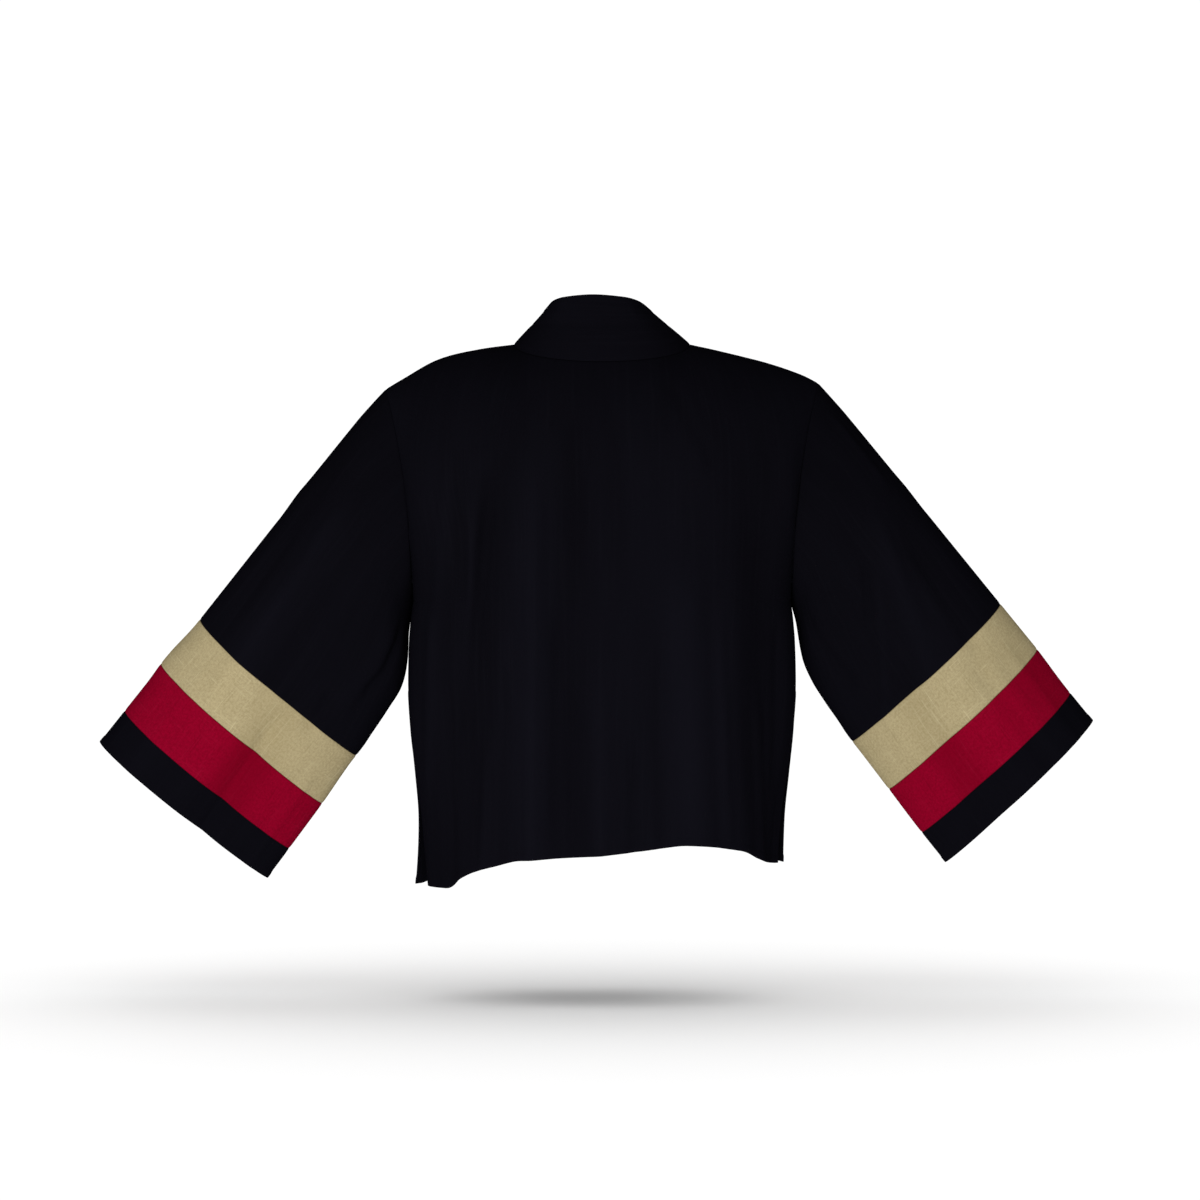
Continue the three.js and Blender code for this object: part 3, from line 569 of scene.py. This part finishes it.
def makePiece(name):
    # makes the mesh of a planned piece and gives its cloth a thickness, inward
    normal, crest, around = (plans[name][key] for key in ("normal", "crest", "around"))
    down, along = arcs(plans[name]["grid"], 0), arcs(plans[name]["grid"], 1)
    points, seamDistance = finishEdges(name, down, along)
    columns = points.shape[1] - 1 if around else points.shape[1]
    points = points[:, :columns]
    quads = quadsOf(points, normal[:, :columns], around)
    mesh = bpy.data.meshes.new(name)
    mesh.vertices.add(points.size // 3)
    mesh.vertices.foreach_set("co", (points / 1000).astype(np.float32).ravel())
    mesh.loops.add(quads.size)
    mesh.loops.foreach_set("vertex_index", quads.astype(np.int32).ravel())
    mesh.polygons.add(len(quads))
    mesh.polygons.foreach_set("loop_start", np.arange(0, quads.size, 4, dtype=np.int32))
    mesh.update(calc_edges=True)
    layer = mesh.uv_layers.new(name="cloth")
    uv = flatCoordinates(quads, along, down, around)
    layer.data.foreach_set("uv", uv.astype(np.float32).ravel())
    for word, values in (("seamDistance", seamDistance), ("crest", crest)):
        attribute = mesh.attributes.new(word, "FLOAT", "POINT")
        attribute.data.foreach_set("value", values[:, :columns].astype(np.float32).ravel())
    mesh.polygons.foreach_set("use_smooth", np.ones(len(quads), bool))
    piece = bpy.data.objects.new(name, mesh)
    bpy.context.scene.collection.objects.link(piece)
    wall = piece.modifiers.new("cloth thickness", "SOLIDIFY")
    wall.thickness = cloth["thick"] / 1000
    wall.offset = -1
    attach(piece, "root")
    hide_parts(plans[name]["node"])
    print("made", name, len(quads) * 4, "triangles")
    return piece


def bodyCore(grid):
    # the point of the upright axis at the height of each point of the grid
    return grid * np.array([0, 0, 1])


# the back and the two fronts
levels = 2 - 2 * spread(body["rows"], body["crowd"])
backAcross = mix(-1, 1, spread(panels["back"]["columns"], panels["back"]["crowd"]))
backGrid = bodyPoint("back", backAcross[None, :], levels[:, None])
backCrest = foldHeight(panels["back"]["folds"], backGrid[..., 0], backGrid[..., 2])
plan("backPanel", backGrid, bodyCore(backGrid), backCrest,
     {"top": "seam", "bottom": "hem", "left": "side", "right": "side"}, "back", "black cloth")
for sideName, side in (("left", 1.0), ("right", -1.0)):
    inner = np.where(levels > body["top"], cut["neckShare"], shareAt(levels, side, edgeX))
    towardsEdge = spread(panels["front"]["columns"], panels["front"]["crowd"])
    across = mix(1.0, inner[:, None], towardsEdge[None, :])
    grid = bodyPoint("front", side * across, levels[:, None] * np.ones_like(across))
    crest = foldHeight(panels["front"]["folds"], grid[..., 0], grid[..., 2])
    plan("frontPanel" + sideName.capitalize(), grid, bodyCore(grid), crest,
         {"top": "seam", "bottom": "hem", "left": "side", "right": "seam"},
         "front_" + sideName, "black cloth")

# the neckband, one strip round the neck and down both fronts
stationCount = neckband["backStations"] + sum(neckband["beside"].values())
stations = np.linspace(0, stationCount, stationCount * neckband["perStation"] + 1)
parts = spread(neckband["columns"], neckband["crowd"])
rightHalf = bandPoint(-1.0, stations[::-1][:-1, None], parts[None, :])
leftHalf = bandPoint(1.0, stations[:, None], parts[None, :])
grid = np.concatenate([rightHalf, leftHalf], axis=0)
plan("neckbandCloth", grid, bodyCore(grid) - np.array([0, 0, neckband["core"]]), np.zeros(grid.shape[:2]),
     {"left": "seam", "right": "hem", "top": "hem", "bottom": "hem"}, "neckband", "black cloth",
     ripple=neckband["ripple"])

# the lengths of each sleeve, from the shoulder down: a shift is added to the height of their folds, and
# so darkens the painted shade on black cloth
lengths = {
    "upperSleeve": {"node": "sleeve", "slot": "black cloth", "rings": 116, "end": "seam", "shadeShift": -4},
    "tanBand": {"node": "band_tan", "slot": "tan cloth", "rings": 26, "end": "seam", "shadeShift": 0},
    "redBand": {"node": "band_red", "slot": "crimson cloth", "rings": 26, "end": "seam", "shadeShift": 0},
    "cuffBand": {"node": "cuff", "slot": "black cloth", "rings": 20, "end": "hem", "shadeShift": -4},
}
for sideName, sleeve in sleeves.items():
    turn = np.linspace(0, 2 * np.pi, sleeveShape["around"] + 1)
    starts = dict(zip(lengths, zip(sleeve["seams"], sleeve["seams"][1:])))
    for word, length in lengths.items():
        along = mix(*starts[word], spread(length["rings"], sleeveShape["crowd"]))
        turns, alongs = np.meshgrid(turn, along)
        grid = sleevePoint(sleeve, turns, alongs.astype(float))
        # the shift lowers the crest and so paints more shade on the black sleeve
        crest = foldHeight(sleeve["folds"][sleeve["rounding"]:], degreesOf(turns), alongs) + length["shadeShift"]
        plan(word + sideName.capitalize(), grid, grid[:, :-1].mean(axis=1, keepdims=True), crest,
             {"top": "seam", "bottom": length["end"]}, length["node"] + "_" + sideName, length["slot"],
             around=True)

pieces = {name: makePiece(name) for name in plans}


class Value:
    # wraps a socket, so that sums of values are written as sums
    def __init__(self, tree, socket):
        self.tree, self.socket = tree, socket

    def join(self, operation, first, second):
        # one Math node on two values
        return self.tree.add("ShaderNodeMath", {"operation": operation}, {0: first, 1: second})

    def __add__(self, other):
        return self.join("ADD", self, other)

    def __radd__(self, other):
        return self.join("ADD", other, self)

    def __sub__(self, other):
        return self.join("SUBTRACT", self, other)

    def __rsub__(self, other):
        return self.join("SUBTRACT", other, self)

    def __mul__(self, other):
        return self.join("MULTIPLY", self, other)

    def __rmul__(self, other):
        return self.join("MULTIPLY", other, self)


class Tree:
    # a node tree, and the one method that adds a node to it
    def __init__(self, owner):
        owner.use_nodes = True
        self.nodes, self.links = owner.node_tree.nodes, owner.node_tree.links

    def plug(self, socket, value):
        # links what varies over the surface, and sets what is fixed
        if isinstance(value, Value):
            self.links.new(value.socket, socket)
        else:
            socket.default_value = value

    def add(self, kind, settings, sockets, out=0):
        # a node's kind, its settings, then the values or links of its sockets
        node = self.nodes.new(kind)
        for key, value in settings.items():
            setattr(node, key, value)
        for key, value in sockets.items():
            self.plug(node.inputs[key], value)
        return Value(self, node.outputs[out])


class Finish(Tree):
    # a material and the patterns that it is made from
    def __init__(self, name):
        self.material = bpy.data.materials.new(name)
        super().__init__(self.material)
        self.shader = self.nodes["Principled BSDF"]

    def flat(self, scaleU, scaleV, shift=0.0):
        # the cloth's flat coordinates, stretched and moved
        uv = self.add("ShaderNodeUVMap", {"uv_map": "cloth"}, {})
        return self.add("ShaderNodeMapping", {},
                        {"Vector": uv, "Location": (shift, shift, shift), "Scale": (scaleU, scaleV, 1)})

    def noise(self, scaleU, scaleV, detail, rough, shift):
        # a noise over the flat coordinates
        return self.add("ShaderNodeTexNoise", {"noise_dimensions": "3D"},
                        {"Vector": self.flat(scaleU, scaleV, shift), "Scale": 1.0, "Detail": detail,
                         "Roughness": rough})

    def step(self, value, low, high):
        # a smooth 0 to 1 as value goes from low to high
        return self.add("ShaderNodeMapRange", {"interpolation_type": "SMOOTHSTEP"},
                        {"Value": value, "From Min": low, "From Max": high})

    def pattern(self, scaleU, scaleV, detail, rough, shift, low, high):
        # a smooth step over a noise
        return self.step(self.noise(scaleU, scaleV, detail, rough, shift), low, high)

    def wave(self, scaleU, scaleV, direction):
        # bands across the cloth or down it, a little unsteady
        unsteady = {"Distortion": 0.6, "Detail": 1.0, "Detail Scale": 0.4}
        return self.add("ShaderNodeTexWave", {"wave_type": "BANDS", "bands_direction": direction},
                        {"Vector": self.flat(scaleU, scaleV), "Scale": 1.0, **unsteady}, out=1)

    def weave(self, scale):
        # a plain weave: waves across the cloth times waves down it
        return self.wave(scale, 0, "X") * self.wave(0, scale, "Y")

    def blend(self, first, second, share):
        # a colour that goes from the first to the second by the share
        return self.add("ShaderNodeMix", {"data_type": "RGBA"}, {0: share, 6: first, 7: second}, out=2)

    def attribute(self, name):
        # a value kept at each point of the piece
        return self.add("ShaderNodeAttribute", {"attribute_name": name}, {}, out=2)

    def height(self):
        # how high a point of the jacket is, in metres
        where = self.add("ShaderNodeTexCoord", {}, {}, out=3)
        return self.add("ShaderNodeSeparateXYZ", {}, {0: where}, out=2)

    def bump(self, height, strength, distance):
        # the surface's direction, tilted by a height
        return self.add("ShaderNodeBump", {}, {"Height": height, "Strength": strength, "Distance": distance})

    def matte(self, colour, roughness):
        # cloth and paper scatter all light, so they have no mirror reflection
        self.plug(self.shader.inputs["Base Color"], colour)
        self.plug(self.shader.inputs["Roughness"], roughness)
        self.shader.inputs["Specular IOR Level"].default_value = 0.0
        return self.material


# Colours, then the patterns: scales across and down the cloth, detail, roughness, shift, and the two
# values of the noise between which the pattern rises. Shares say how much each one colours the cloth,
# and high how much it stands out. The darkest colour is painted shade and the next painted light, laid
# on by height, in metres below the neck, and by the crest, in mm of a fold's height, with a random drift.
blackLook = {
    # the first colour is painted shade; the second is painted light and the lighter end of the drift
    "deep": (0.0024, 0.0022, 0.0033, 1), "worn": (0.0047, 0.0045, 0.0073, 1),
    "thread": (0.0064, 0.0062, 0.0092, 1),
    "fade": (-0.02, 0.5), "crest": (-7, 7),
    "drift": (24, 4, 4, 0.6, 0, 0.3, 0.7), "streak": (260, 7, 2, 0.5, 3, 0.5, 0.75),
    "fleck": (900, 420, 2, 0.6, 7, 0.6, 0.8), "crumple": (160, 160, 4, 0.6, 1), "weave": 1150,
    "share": {"fade": 0.34, "drift": 0.16, "crest": 0.5, "streak": 0.12, "fleck": 0.3},
    "high": {"weave": 0.5, "streak": 0.2, "crumple": 0.5}, "bump": (0.3, 0.0006),
    "rough": 0.9, "smoother": 0.06,
}


def blackCloth():
    # a plain weave with painted shade at the shoulders and in the troughs of its folds, and painted light
    # low down and on their crests. It also drifts a little in streaks.
    look, share, high = blackLook, blackLook["share"], blackLook["high"]
    skin = Finish("black plain weave")
    drift, streak, fleck = (skin.pattern(*look[name]) for name in ("drift", "streak", "fleck"))
    # painted light and shade by height: darker at the shoulders, lighter low down
    fade = skin.step(0.0 - skin.height(), *look["fade"])
    # painted shade in the troughs of the folds and painted light on their crests
    crest = skin.step(skin.attribute("crest"), *look["crest"])
    worn = fade * share["fade"] + drift * share["drift"] + crest * share["crest"]
    # from painted shade to painted light, by height, crest and drift
    colour = skin.blend(look["deep"], look["worn"], worn)
    colour = skin.blend(colour, look["thread"], streak * share["streak"])
    colour = skin.blend(colour, look["thread"], fleck * share["fleck"])
    crumple = skin.noise(*look["crumple"]) * high["crumple"]
    relief = skin.weave(look["weave"]) * high["weave"] + streak * high["streak"] + crumple
    skin.plug(skin.shader.inputs["Normal"], skin.bump(relief, *look["bump"]))
    return skin.matte(colour, look["rough"] - drift * look["smoother"])


# the dark colour also serves as painted shade in the troughs of the folds, and edge is painted shade along
# the seams
tanLook = {
    "base": (0.415, 0.344, 0.195, 1), "pale": (0.54, 0.47, 0.29, 1), "dark": (0.26, 0.208, 0.104, 1),
    "edge": (0.13, 0.10, 0.05, 1), "share": {"streak": 0.55, "cross": 0.4, "thread": 0.4, "trough": 0.3},
}
redLook = {
    "base": (0.245, 0.0013, 0.0175, 1), "pale": (0.32, 0.011, 0.038, 1),
    "dark": (0.150, 0.0006, 0.0092, 1), "edge": (0.06, 0.0002, 0.004, 1),
    "share": {"streak": 0.3, "cross": 0.2, "thread": 0.5, "trough": 0.55},
}
# what both colours of linen have in common; crest and edge are in mm, and bound the painted shade in
# the troughs of the folds and along the seams
linen = {
    "mottle": (60, 46, 5, 0.65, 0, 0.3, 0.7), "speckle": (430, 360, 4, 0.75, 2, 0.36, 0.64),
    "streak": (560, 11, 3, 0.6, 5, 0.6, 0.7), "cross": (22, 620, 3, 0.6, 12, 0.58, 0.7),
    "thread": (760, 20, 2, 0.5, 15, 0.56, 0.74), "weave": 900,
    "crest": (-4.5, 0.5), "edge": (0.1, 0.9),
    "share": {"least": 0.4, "mottle": 0.14, "speckle": 0.6, "edge": 0.6},
    "high": {"weave": 0.45, "streak": 0.4, "cross": 0.3, "speckle": 0.4}, "bump": (0.4, 0.0007),
    "rough": 0.86, "smoother": 0.08,
}


def slubCloth(name, look):
    # a finely speckled ground, with a few long uneven threads down the sleeve and short ones round it,
    # and painted shade in the troughs of the folds and along the seams
    share, high = {**linen["share"], **look["share"]}, linen["high"]
    skin = Finish(name)
    mottle, speckle, streak, cross, thread = (
        skin.pattern(*linen[word]) for word in ("mottle", "speckle", "streak", "cross", "thread"))
    ground = share["least"] + mottle * share["mottle"] + speckle * share["speckle"]
    # painted shade in the troughs of the folds
    trough = 1 - skin.step(skin.attribute("crest"), *linen["crest"])
    # painted shade along the seams
    edge = 1 - skin.step(skin.attribute("seamDistance"), *linen["edge"])
    colour = skin.blend(look["dark"], look["base"], ground)
    colour = skin.blend(colour, look["dark"], thread * share["thread"])
    colour = skin.blend(colour, look["pale"], streak * share["streak"])
    colour = skin.blend(colour, look["pale"], cross * share["cross"])
    # the dark colour laid in the troughs is painted shade
    colour = skin.blend(colour, look["dark"], trough * share["trough"])
    # the edge colour is painted shade along the seams
    colour = skin.blend(colour, look["edge"], edge * share["edge"])
    slubs = streak * high["streak"] + cross * high["cross"] + speckle * high["speckle"]
    relief = skin.weave(linen["weave"]) * high["weave"] + slubs
    skin.plug(skin.shader.inputs["Normal"], skin.bump(relief, *linen["bump"]))
    return skin.matte(colour, linen["rough"] - streak * linen["smoother"])


finishes = {
    "black cloth": blackCloth(),
    "tan cloth": slubCloth("tan slub linen", tanLook),
    "crimson cloth": slubCloth("crimson slub linen", redLook),
}
for name, piece in pieces.items():
    piece.data.materials.append(finishes[plans[name]["slot"]])
print("finishes made")

# a pale floor
studio = {"floorLevel": -0.655, "floorHalf": 40.0, "paper": (0.86, 0.86, 0.86, 1), "rough": 1.0,
          "walls": (1, 1, 1, 1), "light": 0.35, "seen": 1.05}
corners = np.array([[-1, -1], [1, -1], [1, 1], [-1, 1]]) * studio["floorHalf"]
floorMesh = bpy.data.meshes.new("studioFloor")
floorMesh.from_pydata([(x, y, studio["floorLevel"]) for x, y in corners], [], [(0, 1, 2, 3)])
floor = bpy.data.objects.new("studioFloor", floorMesh)
bpy.context.scene.collection.objects.link(floor)
floorMesh.materials.append(Finish("pale studio paper").matte(studio["paper"], studio["rough"]))

# the studio's walls look white, and give the part a softer light than that
world = bpy.data.worlds.new("studio")
walls = Tree(world)
seen = walls.add("ShaderNodeLightPath", {}, {}, out="Is Camera Ray")
strength = walls.add("ShaderNodeMapRange", {},
                     {"Value": seen, "To Min": studio["light"], "To Max": studio["seen"]})
walls.plug(walls.nodes["Background"].inputs["Color"], studio["walls"])
walls.plug(walls.nodes["Background"].inputs["Strength"], strength)
bpy.context.scene.world = world


def hold(light, at, to):
    # stands a light in the studio, turned so that it shines along the line to a point
    holder = bpy.data.objects.new(light.name, light)
    holder.location = at
    holder.rotation_euler = (Vector(to) - Vector(at)).to_track_quat("-Z", "Y").to_euler()
    bpy.context.scene.collection.objects.link(holder)
    return holder


# soft light: the lamps behind and before light the part, and the one overhead lights the floor
lamps = {
    "behind": {"at": (0.8, 3.15, -0.1), "to": (0, 0, -0.3), "size": 0.9, "power": 62},
    "before": {"at": (-1.0, -3.1, 0.2), "to": (0, 0, -0.3), "size": 1.2, "power": 55},
}
sun = {"at": (0, 0, 3), "to": (0, 0, 0), "power": 2.7, "angle": 1.7}
lit = {name: bpy.data.collections.new(name) for name in ("part", "floor")}
lit["floor"].objects.link(floor)
for piece in pieces.values():
    lit["part"].objects.link(piece)
for name, lamp in lamps.items():
    light = bpy.data.lights.new(name, "AREA")
    light.size, light.energy = lamp["size"], lamp["power"]
    hold(light, lamp["at"], lamp["to"]).light_linking.receiver_collection = lit["part"]
overhead = bpy.data.lights.new("overhead", "SUN")
overhead.energy, overhead.angle = sun["power"], sun["angle"]
hold(overhead, sun["at"], sun["to"]).light_linking.receiver_collection = lit["floor"]

# the camera stands behind the jacket, level with its middle
lens = {"at": (0.002, 3.5, -0.257), "look": (0, -1, 0), "length": 105, "sensor": 36}
camera = bpy.data.objects.new("camera", bpy.data.cameras.new("camera"))
camera.data.lens, camera.data.sensor_width = lens["length"], lens["sensor"]
camera.location = lens["at"]
camera.rotation_euler = Vector(lens["look"]).to_track_quat("-Z", "Y").to_euler()
bpy.context.scene.collection.objects.link(camera)
bpy.context.scene.camera = camera
bpy.context.scene.view_settings.view_transform = "Standard"
print("studio ready")
